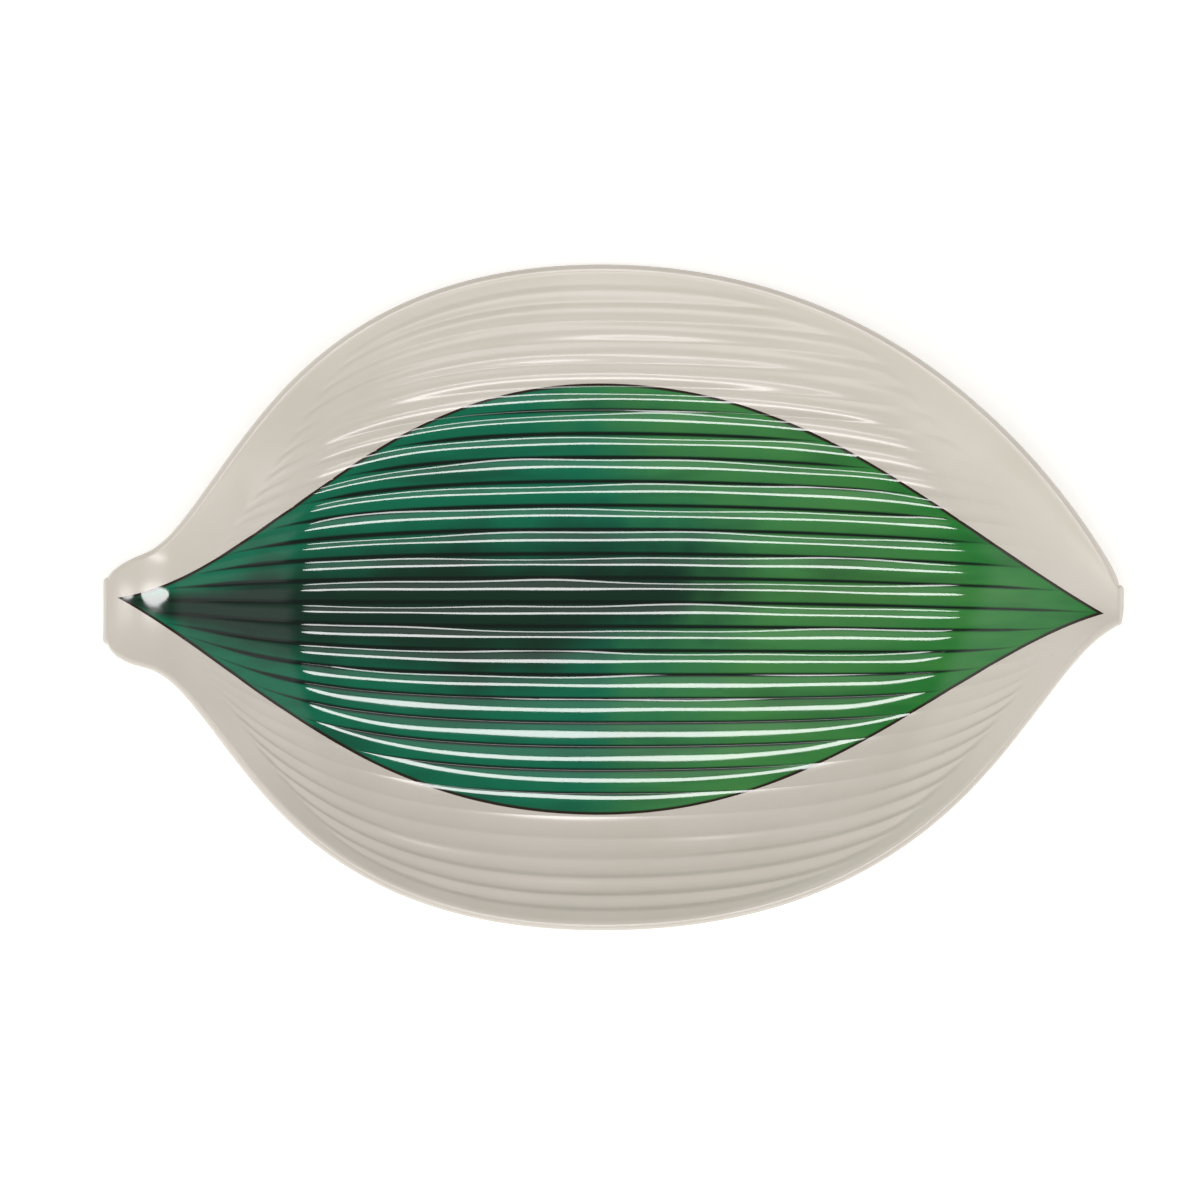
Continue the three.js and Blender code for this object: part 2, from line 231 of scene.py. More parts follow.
@dataclass
class PlateForm:
    """The plate's fluted face as a function of u, along from stem to tip, and v, across.

    u counts the three curves of an edge, 0 to 3; v runs from -1 on the near edge to 1 on the far one.
    """

    length: float = 301.33
    shift: float = 0.35
    width: float = 192.98
    widest_x: float = -3.5
    stem_end_width: float = 17.0
    neck_width: float = 30.5
    neck_length: float = 11.0
    stem_corner_reach: float = 10.5
    stem_y: float = -4.0
    tip_end_width: float = 8.5
    tip_y: float = -2.5
    far: EdgeHandles = EdgeHandles(
        shoulder=99.5, neck_run=27.0, neck_rise=10.0, bow=68.0, tip_run=34.0, tip_rise=59.0)
    near: EdgeHandles = EdgeHandles(
        shoulder=102.5, neck_run=29.0, neck_rise=6.5, bow=112.5, tip_run=27.5, tip_rise=9.0)
    wall: float = 3.0
    foot_height: float = 2.0
    rim_height: float = 26.49
    stem_height: float = 22.0
    stem_trough: float = 0.6
    stem_end_trough: float = 0.1
    stem_trough_runout: float = 9.0
    stem_droop: float = 1.0
    tip_height: float = 23.5
    tip_trough: float = 0.4
    stem_ledge: float = 16.5
    stem_ramp: float = 41.0
    stem_bend: float = 14.0
    tip_ramp: float = 47.5
    tip_bend: float = 34.0
    wall_run: float = 46.0
    wall_power: float = 2.6
    flute_pitch: float = 7.35
    flute_pitch_at_rim: float = 6.6
    flute_depth: float = 0.85
    flute_runout: float = 3.0
    flute_stem_gap: float = 17.5
    flute_tip_gap: float = 15.5
    flute_end_fade: float = 22.0
    flute_narrowing: float = 0.7
    flute_wall_narrowing: float = 0.6
    flute_far: FluteShares = FluteShares(floor=0.85, wall=0.6, wall_from=0.55, wall_to=0.8, end_band=9.5)
    flute_near: FluteShares = FluteShares(floor=0.32, wall=1.45, wall_from=0.66, wall_to=0.98, end_band=4.5)
    flute_near_from: float = 0.45
    flute_to_stem: FluteSpread = FluteSpread(middle=0.62, edge=0.0)
    flute_to_tip: FluteSpread = FluteSpread(middle=0.88, edge=0.4)
    flute_axis_y: float = -1.0
    flute_axis_drop: float = 4.0
    flute_waver: tuple[Ripple, ...] = (
        Ripple(wavelength=107.0, phase=3.1, weight=0.02), Ripple(wavelength=46.0, phase=5.7, weight=0.012))
    flute_swell: tuple[Ripple, ...] = (
        Ripple(wavelength=170.0, phase=2.3, weight=0.2), Ripple(wavelength=63.0, phase=4.1, weight=0.1))
    ridge_softness: float = 0.3
    band_at_sides: float = 1.6
    band_end_run: float = 45.5
    band_taper: float = 32.0

    LAST_U: ClassVar[float] = 3.0
    WIDEST_U: ClassVar[float] = 2.0
    STEP_U: ClassVar[float] = 0.01
    STEP_V: ClassVar[float] = 0.005
    WALK_STEP: ClassVar[float] = 0.0005
    LEAST_SOFTNESS: ClassVar[float] = 1e-6
    INVERSE_STEPS: ClassVar[int] = 400

    @property
    def stem_x(self) -> float:
        """X of the face's stem end."""
        return -self.length / 2 - self.shift

    @property
    def tip_x(self) -> float:
        """X of the face's tip."""
        return self.length / 2 - self.shift

    @property
    def floor_height(self) -> float:
        """Height of the flat floor's ridges above the table."""
        return self.foot_height + self.wall

    def edge_curves(self, side: Side) -> list[Array]:
        """Control points of a long edge: stem corner, shoulder and bow, smooth where they meet.

        Args:
            side: which long edge.

        Returns:
            Three arrays of control points in plan.
        """
        sign = side.value
        reach = self.far if side is Side.FAR else self.near
        stem = np.array([self.stem_x, self.stem_y + sign * self.stem_end_width / 2])
        neck = np.array([self.stem_x + self.neck_length, self.stem_y + sign * self.neck_width / 2])
        widest = np.array([self.widest_x, sign * self.width / 2])
        tip = np.array([self.tip_x, self.tip_y + sign * self.tip_end_width / 2])
        neck_handle = np.array([reach.neck_run, sign * reach.neck_rise])
        corner = neck - unit(neck_handle) * self.stem_corner_reach
        shoulder = [neck, neck + neck_handle, widest - [reach.shoulder, 0.0], widest]
        bow = [widest, widest + [reach.bow, 0.0], tip + [-reach.tip_run, sign * reach.tip_rise], tip]
        return [np.array([stem, corner, neck]), np.array(shoulder), np.array(bow)]

    def edge(self, side: Side, u: Array) -> tuple[Array, Array]:
        """Points and unit directions of a long edge.

        Args:
            side: which long edge.
            u: places along it.

        Returns:
            Plan points and plan directions, one row per u.
        """
        piece = np.clip(np.floor(u), 0, self.LAST_U - 1).astype(int)
        t = np.clip(u - piece, 0.0, 1.0)
        curves = self.edge_curves(side)
        points = np.stack([bezier(curve, t) for curve in curves])
        slopes = np.stack([bezier(np.diff(curve, axis=0), t) for curve in curves])
        rows = np.arange(u.size)
        return points[piece, rows], unit(slopes[piece, rows])

    def plan(self, u: Array, v: Array) -> Array:
        """Plan points, a straight blend of the two edges: near (1 - v) / 2 plus far (1 + v) / 2."""
        near, far = (self.edge(side, u)[0][:, None, :] for side in (Side.NEAR, Side.FAR))
        return near * (1.0 - v[..., None]) / 2 + far * (1.0 + v[..., None]) / 2

    @staticmethod
    def rounded_rise(run: Array, bend: float) -> Array:
        """Rise after a run up a slope of one that starts with a parabola of the bend's length."""
        bent = np.clip(run + bend / 2, 0.0, bend)
        return bent**2 / (2 * bend) + np.maximum(run - bend / 2, 0.0)

    def half_width(self, u: Array) -> Array:
        """Half the distance between the two edges, as a column with one row per u."""
        span = self.edge(Side.FAR, u)[0] - self.edge(Side.NEAR, u)[0]
        return np.linalg.norm(span, axis=1)[:, None] / 2

    def height(self, x: Array, v: Array, half_width: float | Array) -> Array:
        """Height of the smooth face: axis plus (rim - axis) times the wall's climb.

        The axis is level on the floor and rises up a ramp at each end, less the trough of the stem,
        which runs out at its end. The climb is 0 over the flat share f of the half width, which
        leaves the wall its run, and ((|v| - f) / (1 - f)) to the wall's power outside it. The ledge
        at the stem droops with the square of the way along it.

        Args:
            x: places along the plate.
            v: places across it.
            half_width: half the plate's width at each place.

        Returns:
            Heights above the table.
        """
        to_stem = x < self.widest_x
        end_x = np.where(to_stem, self.stem_x, self.tip_x)
        end_height = np.where(to_stem, self.stem_height, self.tip_height)
        reach = (x - self.widest_x) / (end_x - self.widest_x)
        rim = self.rim_height + (end_height - self.rim_height) * reach**2
        stem_run = self.stem_x + self.stem_ledge + self.stem_ramp - x
        stem = (self.rounded_rise(stem_run, self.stem_bend)
                - self.rounded_rise(stem_run - self.stem_ramp, self.stem_bend)) / self.stem_ramp
        tip = self.rounded_rise(x - self.tip_x + self.tip_ramp, self.tip_bend) / self.tip_ramp
        from_stem = smoothstep(0.0, self.stem_trough_runout, x - self.stem_x)
        stem_trough = self.stem_end_trough + (self.stem_trough - self.stem_end_trough) * from_stem
        axis = (self.floor_height
                + stem * (self.stem_height - stem_trough - self.floor_height)
                + tip * (self.tip_height - self.tip_trough - self.floor_height))
        flat = np.maximum(1.0 - self.wall_run / half_width, 0.0) * (1.0 - stem) * (1.0 - tip)
        climb = np.maximum((np.abs(v) - flat) / (1.0 - flat), 0.0) ** self.wall_power
        on_ledge = np.maximum((self.stem_x + self.stem_ledge - x) / self.stem_ledge, 0.0)
        return axis + (rim - axis) * climb - self.stem_droop * on_ledge**2

    def smooth(self, u: Array, v: Array) -> Array:
        """Points of the face without its flutes, one row of points per u."""
        plan = self.plan(u, v)
        return np.dstack([plan, self.height(plan[..., 0], v, self.half_width(u))])

    def directions(self, u: Array, v: Array) -> tuple[Array, Array]:
        """Normals and crosswise directions of the smooth face, by differences of nearby points.

        Args:
            u: places along the plate.
            v: places across it, one row per u.

        Returns:
            Unit normals and unit directions towards the far edge.
        """
        ahead = self.smooth(np.minimum(u + self.STEP_U, self.LAST_U), v)
        behind = self.smooth(np.maximum(u - self.STEP_U, 0.0), v)
        across = unit(self.smooth(u, v + self.STEP_V) - self.smooth(u, v - self.STEP_V))
        return unit(np.cross(ahead - behind, across)), across

    @cached_property
    def ridges(self) -> Array:
        """Places v of the ridges on one half, at steps along the widest section that shrink to the rim.

        Flutes are counted by adding up the way walked over the pitch, which goes from the floor's
        to the rim's with the square of v; a ridge stands wherever the count is whole.

        Returns:
            Rising places from 0.
        """
        v = np.arange(0.0, 1.0 - 2 * self.band_at_sides / self.width, self.WALK_STEP)
        z = self.height(np.full_like(v, self.widest_x), v, self.width / 2)
        walked = np.hypot(np.diff(v) * self.width / 2, np.diff(z))
        pitch = self.flute_pitch + (self.flute_pitch_at_rim - self.flute_pitch) * v[:-1] ** 2
        count = np.concatenate([[0.0], np.cumsum(walked / pitch)])
        return np.interp(np.arange(0.0, count[-1]), count, v)

    def spread(self, u: Array) -> tuple[Array, Array]:
        """Scale of v at the middle and place at the edge: the share of the full width to two powers.

        Args:
            u: places along the plate.

        Returns:
            Two columns with one row per u.
        """
        share = 2 * self.half_width(u) / self.width
        to_stem = (u < self.WIDEST_U)[:, None]
        middle = np.where(to_stem, self.flute_to_stem.middle, self.flute_to_tip.middle)
        edge = np.where(to_stem, self.flute_to_stem.edge, self.flute_to_tip.edge)
        return share**middle, share**edge

    def flute_axis(self, u: Array) -> Array:
        """Place v of the flutes' middle line, which drops towards the tip with the square of x.

        Args:
            u: places along the plate.

        Returns:
            A column with one row per u.
        """
        middle = self.plan(u, np.zeros((u.size, 1)))
        drop = self.flute_axis_drop * np.maximum(middle[..., 0] / self.tip_x, 0.0) ** 2
        return (self.flute_axis_y - drop - middle[..., 1]) / self.half_width(u)

    def flute_place(self, u: Array, v: Array) -> tuple[Array, Array]:
        """Place on the widest section of the flute at v, and the slope of the place by v.

        With w the way from the flutes' middle line, W the way from there to the edge and f = w / W,
        the place is m w + (e - m W) f^3, where m and e are the spread's scale and place.

        Args:
            u: places along the plate.
            v: places across it, one row per u.

        Returns:
            Places from 0 on the middle line, and slopes.
        """
        middle, edge = self.spread(u)
        axis = self.flute_axis(u)
        to_edge = np.where(v < axis, 1.0 + axis, 1.0 - axis)
        share = np.abs(v - axis) / to_edge
        more = edge - middle * to_edge
        return middle * to_edge * share + more * share**3, middle + 3 * more * share**2 / to_edge

    def flute_share(self, u: Array, v: Array) -> tuple[Array, Array]:
        """Which flute each place lies in, and where in it.

        Args:
            u: places along the plate.
            v: places across it, one row per u.

        Returns:
            Numbers of the flutes, counted outwards, and shares of the way from the inner ridge.
        """
        steps = np.append(self.ridges, 1.0)
        index = np.interp(self.flute_place(u, v)[0], steps, np.arange(steps.size))
        number = np.minimum(np.floor(index), self.ridges.size - 1)
        return number, index - number

    def flute_width(self, u: Array, v: Array) -> Array:
        """Width of the flute at each place: its width in flute places over the slope of the place."""
        width = np.diff(np.append(self.ridges, 1.0))[self.flute_share(u, v)[0].astype(int)]
        return width * self.half_width(u) / self.flute_place(u, v)[1]

    def flute(self, u: Array, v: Array) -> Array:
        """Flute profile, 0 on a ridge and 1 along the middle of a flute.

        With w the distance from the ridge, 0 on it and 1 in the middle, it is q (2 - q): a round
        hollow. On the floor q is w; on the walls it is sqrt(w^2 + s^2) - s, which rounds the ridge
        by the softness s. The middle wavers and the depth swells along each flute by slow sines, as
        in hand-modelled flutes. Outside the last ridge the face is level.

        Args:
            u: places along the plate.
            v: places across it, one row per u.

        Returns:
            Shares of the flute depth.
        """
        x = self.plan(u, v)[..., 0]
        number, share = self.flute_share(u, v)
        number = np.where(v < self.flute_axis(u), -1 - number, number)
        middle = 0.5 + sum(ripple.at(x, number) for ripple in self.flute_waver)
        swell = 1.0 + sum(ripple.at(x, number) for ripple in self.flute_swell)
        w = np.minimum(share / middle, (1.0 - share) / (1.0 - middle))
        soft = self.LEAST_SOFTNESS + self.ridge_softness * self.on_wall(v)
        q = (np.hypot(w, soft) - soft) / (np.hypot(1.0, soft) - soft)
        return np.where(self.flute_place(u, v)[0] > self.ridges[-1], 0.0, swell * q * (2.0 - q))

    def shares(self, v: Array) -> FluteShares:
        """The flute shares of the half on which each place lies."""
        pairs = zip(astuple(self.flute_near), astuple(self.flute_far))
        return FluteShares(*(np.where(v < 0, near, far) for near, far in pairs))

    def on_wall(self, v: Array) -> Array:
        """Eased step from 0 on the floor to 1 on the side walls, with its own ends on each half."""
        own = self.shares(v)
        return smoothstep(own.wall_from, own.wall_to, np.abs(v))

    def flute_strength(self, u: Array, v: Array) -> Array:
        """Share of the flute depth that is left.

        It is a share that falls with a power of the plate's width; share and power go from the
        floor's to the wall's, and the floor's share from the far half's to the near half's. It runs
        out before the rim and both ends.

        Args:
            u: places along the plate.
            v: places across it, one row per u.

        Returns:
            Shares of the flute depth.
        """
        near, near_way = self.edge(Side.NEAR, u)
        far, far_way = self.edge(Side.FAR, u)
        to_near = np.abs(cross_2d(far - near, near_way))[:, None]
        to_far = np.abs(cross_2d(far - near, far_way))[:, None]
        to_rim = (1.0 - np.abs(v)) / 2 * np.where(v < 0, to_near, to_far)
        own = self.shares(v)
        x = self.plan(u, v)[..., 0]
        wide_x = self.length / 2 - self.band_end_run
        widening = smoothstep(wide_x - self.band_taper, wide_x, np.abs(x))
        band = self.band_at_sides + (own.end_band - self.band_at_sides) * widening
        on_near = smoothstep(0.0, self.flute_near_from, self.flute_axis(u) - v)
        floor = self.flute_far.floor + (self.flute_near.floor - self.flute_far.floor) * on_near
        on_wall = self.on_wall(v)
        narrowing = self.flute_narrowing + (self.flute_wall_narrowing - self.flute_narrowing) * on_wall
        return ((2 * self.half_width(u) / self.width) ** narrowing
                * (floor + (own.wall - floor) * on_wall)
                * smoothstep(band, band + self.flute_runout, to_rim)
                * smoothstep(0.0, self.flute_end_fade, x - self.stem_x - self.flute_stem_gap)
                * smoothstep(0.0, self.flute_end_fade, self.tip_x - self.flute_tip_gap - x))

    def face(self, u: Array, v: Array) -> Array:
        """Points of the fluted face: the smooth face sunk along its normal by the flutes."""
        sunk = self.flute_depth * self.flute(u, v) * self.flute_strength(u, v)
        return self.smooth(u, v) - self.directions(u, v)[0] * sunk[..., None]

    def places_across(self, u: Array, flute_steps: int, band_steps: int) -> Array:
        """Places from the far edge to the near one, close together at the ridges.

        Within a flute the share of the way is (1 - cos(pi t)) / 2 at even steps of t. Each place on
        the widest section is followed along its flute; those that have run out lie on the edge, and
        one more place past all flutes always does.

        Args:
            u: places along the plate.
            flute_steps: places per flute.
            band_steps: places in the smooth band at each side.

        Returns:
            Falling values of v from 1 to -1, one row per u.
        """
        share = (1.0 - np.cos(np.pi * np.arange(flute_steps) / flute_steps)) / 2
        flutes = self.ridges[:-1, None] + np.diff(self.ridges)[:, None] * share
        half = np.concatenate([flutes.ravel(), np.linspace(self.ridges[-1], 1.0, band_steps + 1)])
        half = np.append(half, np.inf)
        grid = np.linspace(0.0, 1.0, self.INVERSE_STEPS + 1)
        axis = self.flute_axis(u)

        def followed(edge: float) -> Array:
            """Places v between the middle line and one edge, by reading the flute places backwards."""
            places, _ = self.flute_place(u, axis + (edge - axis) * grid)
            return axis + (edge - axis) * np.stack([np.interp(half, row, grid) for row in places])

        return np.concatenate([followed(1.0)[:, :0:-1], followed(-1.0)], axis=1)


@dataclass
class PlatePiece:
    """A piece of the plate, worked out on the plate's form, that stands for one solid of the frame."""

    form: PlateForm

    NODE: ClassVar[str]
    SLOT: ClassVar[str]

    def dress(self, piece: bpy.types.Object, finish: bpy.types.Material) -> None:
        """Gives the built piece its finish and lets it stand for its solid.

        Args:
            piece: the fine surface.
            finish: its material.
        """
        piece.data.materials.append(finish)
        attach(piece, ROOT_BODY)
        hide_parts(self.NODE)


@dataclass
class MouldedShell(PlatePiece):
    """The one-piece shell: fluted face, rounded rim, underside and foot ring."""

    curve_steps: tuple[int, int, int] = (14, 84, 92)
    flute_steps: int = 12
    band_steps: int = 8
    underside_steps: int = 64
    lip_steps: int = 9
    end_lip_deg: tuple[float, ...] = (18.0, 36.0, 54.0, 70.0, 80.0)
    foot_length: float = 146.0
    foot_width: float = 76.0
    foot_half_ring: float = 2.0
    foot_fillet: float = 1.0
    foot_corner: float = 0.7
    foot_root: float = 0.5
    foot_steps: int = 240
    corner_steps: int = 7

    NODE: ClassVar[str] = "plate_body"
    SLOT: ClassVar[str] = "melamine"

    def stations(self) -> Array:
        """Places u along the plate, at even steps within each of the three edge curves."""
        pieces = [k + np.arange(count) / count for k, count in enumerate(self.curve_steps)]
        return np.concatenate([*pieces, [self.form.LAST_U]])

    def core(self, u: Array, v: Array) -> tuple[Array, Array, Array]:
        """Core points, half a wall under the smooth face, with their normals and crosswise directions."""
        normals, across = self.form.directions(u, v)
        return self.form.smooth(u, v) - self.form.wall / 2 * normals, normals, across

    def lip(self, u: Array, side: Side) -> tuple[Array, Array]:
        """A long edge's round lip: core + (wall / 2) times (normal sin a + outwards cos a).

        The angle a falls from 90 to -90 degrees on the near side and rises on the far one.

        Args:
            u: stations along the plate.
            side: which long edge.

        Returns:
            Skin points and core points, one row of points per station.
        """
        sign = side.value
        turn = sign * np.radians(np.linspace(-90.0, 90.0, self.lip_steps + 2)[1:-1])
        core, normals, across = self.core(u, np.full((u.size, turn.size), float(sign)))
        outwards = normals * np.sin(turn)[:, None] + sign * across * np.cos(turn)[:, None]
        return core + self.form.wall / 2 * outwards, core

    def loops(self, u: Array) -> tuple[Array, Array]:
        """Closed sections of the shell: face, near lip, underside and far lip.

        Args:
            u: stations along the plate.

        Returns:
            Skin points and core points, one row of points per station.
        """
        form = self.form
        top_v = form.places_across(u, self.flute_steps, self.band_steps)
        low_v = np.tile(np.linspace(-1.0, 1.0, self.underside_steps + 1), (u.size, 1))
        low_core, low_normals, _ = self.core(u, low_v)
        near_lip, near_core = self.lip(u, Side.NEAR)
        far_lip, far_core = self.lip(u, Side.FAR)
        skin = [form.face(u, top_v), near_lip, low_core - form.wall / 2 * low_normals, far_lip]
        core = [self.core(u, top_v)[0], near_core, low_core, far_core]
        return np.concatenate(skin, axis=1), np.concatenate(core, axis=1)

    def end_lips(self, end: End) -> Array:
        """Loops that round an end outwards: core + (skin - core) cos a + (wall / 2) out sin a.

        Args:
            end: which end of the plate.

        Returns:
            One loop per angle, from the end section outwards.
        """
        place = np.array([0.0 if end is End.STEM else self.form.LAST_U])
        skin, core = self.loops(place)
        span = unit(self.form.edge(Side.FAR, place)[0] - self.form.edge(Side.NEAR, place)[0])[0]
        out = np.array([span[1], -span[0], 0.0]) * end.value * self.form.wall / 2
        turn = np.radians(self.end_lip_deg)[:, None, None]
        return core + (skin - core) * np.cos(turn) + out * np.sin(turn)

    def foot_profile(self) -> Array:
        """Closed profile of the foot ring: root fillets, upright sides and rounded lower corners.

        Returns:
            Rows of (distance outwards from the ring's middle line, height above the table).
        """
        form = self.form
        quarter = np.linspace(0.0, np.pi / 2, self.corner_steps)
        fillet_at = (self.foot_half_ring + self.foot_fillet, form.foot_height - self.foot_fillet)
        fillet = np.stack([fillet_at[0] - self.foot_fillet * np.sin(quarter),
                           fillet_at[1] + self.foot_fillet * np.cos(quarter)], axis=1)
        corner_at = self.foot_half_ring - self.foot_corner
        corner = np.stack([corner_at + self.foot_corner * np.cos(quarter),
                           self.foot_corner - self.foot_corner * np.sin(quarter)], axis=1)
        root = np.array([[fillet_at[0], form.foot_height + self.foot_root]])
        outer = np.concatenate([root, fillet, corner])
        return np.concatenate([outer, outer[::-1] * [-1.0, 1.0]])

    def foot_ring(self) -> Array:
        """The foot profile carried round an ellipse, along the ellipse's own normal.

        Returns:
            Points, one row per step round the ellipse; the last row repeats the first.
        """
        turn = np.linspace(0.0, 2 * np.pi, self.foot_steps + 1)[:, None]
        a, b = self.foot_length / 2, self.foot_width / 2
        normal = unit(np.concatenate([b * np.cos(turn), a * np.sin(turn)], axis=1))
        middle = np.concatenate([a * np.cos(turn), b * np.sin(turn)], axis=1)
        offset, height = self.foot_profile().T
        plan = middle[:, None, :] + normal[:, None, :] * offset[None, :, None]
        rise = np.broadcast_to(height[None, :, None], (*plan.shape[:2], 1))
        return np.concatenate([plan, rise], axis=-1)

    def build(self) -> bpy.types.Object:
        """Makes the shell with its foot ring as one mesh: the sections, a cap at each end and the ring.

        Returns:
            The plate's body.
        """
        skin, _ = self.loops(self.stations())
        rows = np.concatenate([self.end_lips(End.STEM)[::-1], skin, self.end_lips(End.TIP)])
        count, columns = rows.shape[:2]
        last = (count - 1) * columns
        faces = loop_faces(count, columns).tolist()
        faces.append(np.arange(columns)[::-1].tolist())
        faces.append((last + np.arange(columns)).tolist())
        ring = self.foot_ring()
        ring_faces = loop_faces(*ring.shape[:2]) + rows.shape[0] * columns
        points = np.concatenate([rows.reshape(-1, 3), ring.reshape(-1, 3)])
        return make_piece("moulded_shell", points, faces + ring_faces.tolist())


@dataclass(frozen=True)
class BladeHandles:
    """Reach of the curve handles of one edge of the printed blade."""

    stem_wide: float
    stem_run: float
    stem_rise: float
    tip_wide: float
    tip_run: float
    tip_rise: float


@dataclass
class PrintedFoil(PlatePiece):
    """The printed foil: a pointed leaf blade that lies on the face and follows its flutes."""

    width: float = 130.4
    widest_x: float = -4.0
    stem_gap: float = 3.1
    stem_y: float = -0.2
    tip_gap: float = 3.9
    tip_y: float = -5.0
    far: BladeHandles = BladeHandles(
        stem_wide=72.0, stem_run=42.0, stem_rise=6.0, tip_wide=66.0, tip_run=42.0, tip_rise=26.0)
    near: BladeHandles = BladeHandles(
        stem_wide=72.0, stem_run=40.0, stem_rise=22.0, tip_wide=70.0, tip_run=42.0, tip_rise=12.0)
    proud: float = 0.04
    sunk: float = 0.16
    stations: int = 420
    end_crowding: float = 0.8
    flute_steps: int = 12
    band_steps: int = 2
    outline_steps: int = 1500

    NODE: ClassVar[str] = "printed_foil"
    SLOT: ClassVar[str] = "print"
    HALVINGS: ClassVar[int] = 40
    LEAST_WIDTH: ClassVar[float] = 1e-6

    def outline(self, side: Side) -> Array:
        """Plan points of one edge of the blade from its stem point to its tip.

        Args:
            side: which edge of the blade.

        Returns:
            Points along two Bezier curves that meet level at the widest place.
        """
        sign = side.value
        reach = self.far if side is Side.FAR else self.near
        stem = np.array([self.form.stem_x + self.stem_gap, self.stem_y])
        tip = np.array([self.form.tip_x - self.tip_gap, self.tip_y])
        wide = np.array([self.widest_x, sign * self.width / 2])
        first = [stem, stem + [reach.stem_run, sign * reach.stem_rise], wide - [reach.stem_wide, 0.0], wide]
        second = [wide, wide + [reach.tip_wide, 0.0], tip + [-reach.tip_run, sign * reach.tip_rise], tip]
        t = np.linspace(0.0, 1.0, self.outline_steps)
        return np.concatenate([bezier(np.array(first), t), bezier(np.array(second), t)[1:]])

    def on_plate(self, points: Array) -> tuple[Array, Array]:
        """Finds u and v of plan points by halving u until its crosswise line meets the point.

        Args:
            points: plan points on the face.

        Returns:
            u and v of each point.
        """
        low = np.zeros(len(points))
        high = np.full(len(points), self.form.LAST_U)
        for _ in range(self.HALVINGS):
            u = (low + high) / 2
            near = self.form.edge(Side.NEAR, u)[0]
            span = self.form.edge(Side.FAR, u)[0] - near
            beyond = cross_2d(span, points - near) < 0
            low = np.where(beyond, u, low)
            high = np.where(beyond, high, u)
        share = np.sum((points - near) * span, axis=1) / np.sum(span * span, axis=1)
        return u, 2.0 * share - 1.0

    def build(self) -> bpy.types.Object:
        """Makes the foil as a thin closed sheet with the marks that its print follows.

        With t the turn from 0 to 2 pi and c the crowding, the stations lie at (t - c sin t) / 2 pi
        of the way, closer together at both points. At each station the places across are held
        between the blade's two edges, so the places outside fall together there and are merged.

        Returns:
            The foil, with its marks as attributes.
        """
        form = self.form
        far_u, far_v = self.on_plate(self.outline(Side.FAR))
        near_u, near_v = self.on_plate(self.outline(Side.NEAR))
        turn = np.linspace(0.0, 2 * np.pi, self.stations)
        ease = (turn - self.end_crowding * np.sin(turn)) / (2 * np.pi)
        u = far_u[0] + (far_u[-1] - far_u[0]) * ease
        high = np.interp(u, far_u, far_v)[:, None]
        low = np.interp(u, near_u, near_v)[:, None]
        v = np.clip(form.places_across(u, self.flute_steps, self.band_steps), low, high)
        normals, _ = form.directions(u, v)
        face = form.face(u, v)
        sheet = np.concatenate([face + self.proud * normals, (face - self.sunk * normals)[:, ::-1]], axis=1)
        marks = {mark: np.concatenate([values, values[:, ::-1]], axis=1)
                 for mark, values in self.marks(u, v, low, high).items()}
        faces = loop_faces(*sheet.shape[:2]).tolist()
        return make_piece("leaf_print", sheet.reshape(-1, 3), faces, marks)

    def marks(self, u: Array, v: Array, low: Array, high: Array) -> dict[Mark, Array]:
        """Numbers over the foil that the print is drawn from.

        Args:
            u: stations along the plate.
            v: places across it, one row per station.
            low: near edge of the blade at each station.
            high: far edge of the blade at each station.

        Returns:
            Along, 0 at the stem point to 1 at the tip; across, -1 on the near edge to 1 on the far
            edge; distances in millimetres to the nearest ridge and to the blade's edge.
        """
        form = self.form
        x = form.plan(u, v)[..., 0]
        stem_x = form.stem_x + self.stem_gap
        tip_x = form.tip_x - self.tip_gap
        span = form.edge(Side.FAR, u)[0] - form.edge(Side.NEAR, u)[0]
        half_span = form.half_width(u)
        _, share = form.flute_share(u, v)
        middle, half = (high + low) / 2, np.maximum((high - low) / 2, self.LEAST_WIDTH)
        edges = np.stack([form.plan(u, low)[:, 0], form.plan(u, high)[:, 0]])
        ways = unit(np.gradient(edges, axis=1))
        square = np.abs(cross_2d(unit(span)[None], ways))
        to_edge = np.minimum((v - low) * square[0][:, None], (high - v) * square[1][:, None]) * half_span
        return {
            Mark.ALONG: (x - stem_x) / (tip_x - stem_x),
            Mark.ACROSS: (v - middle) / half,
            Mark.RIDGE: np.minimum(share, 1.0 - share) * form.flute_width(u, v),
            Mark.EDGE: np.maximum(to_edge, 0.0),
        }


